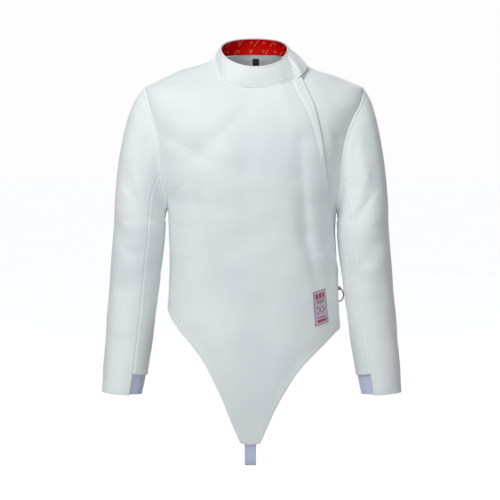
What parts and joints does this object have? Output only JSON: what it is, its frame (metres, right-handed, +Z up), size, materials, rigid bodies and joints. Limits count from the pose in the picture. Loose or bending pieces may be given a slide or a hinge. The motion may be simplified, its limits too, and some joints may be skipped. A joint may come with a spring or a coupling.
{
  "type": "fencing jacket",
  "caption": "Right-handed fencing jacket with a wrap-over front, stand collar, long sleeves, pointed tail with a strap between the legs and a zip at the hip with a swinging ring.",
  "frame": {"origin": "base of the neck, between the shoulders that carry the jacket", "axes": "+Z up, +X to the wearer's left, and the wearer faces -Y"},
  "size_m": [0.6252, 0.2351, 0.8866],
  "materials": {
    "shell": "white tight weave",
    "lining": "dark red printed lining",
    "elastic": "ribbed elastic webbing",
    "label": "woven label",
    "tab": "black woven tab",
    "tape": "woven zip tape",
    "metal": "dark nickel"
  },
  "bodies": {
    "jacket": {"front_panel": "shell", "left_front_panel": "shell", "back_panel": "shell", "collar": "shell", "collar_lining": "lining", "upper_sleeve_right": "shell", "under_sleeve_right": "shell", "cuff_elastic_right": "elastic", "upper_sleeve_left": "shell", "under_sleeve_left": "shell", "cuff_elastic_left": "elastic", "crotch_strap": "elastic", "hip_label": "label", "neck_label": "label", "size_tab": "tab", "zip_tape": "tape", "zip_slider": "metal"},
    "ring": {"pull_ring": "metal"}
  },
  "joints": [
    {"name": "ring_swing", "type": "hinge", "parent": "jacket", "child": "ring", "pos_m": [0.17931, 0.02572, -0.46493], "axis": [0.6428, -0.766, 0], "range_deg": [0, 95]}
  ]
}
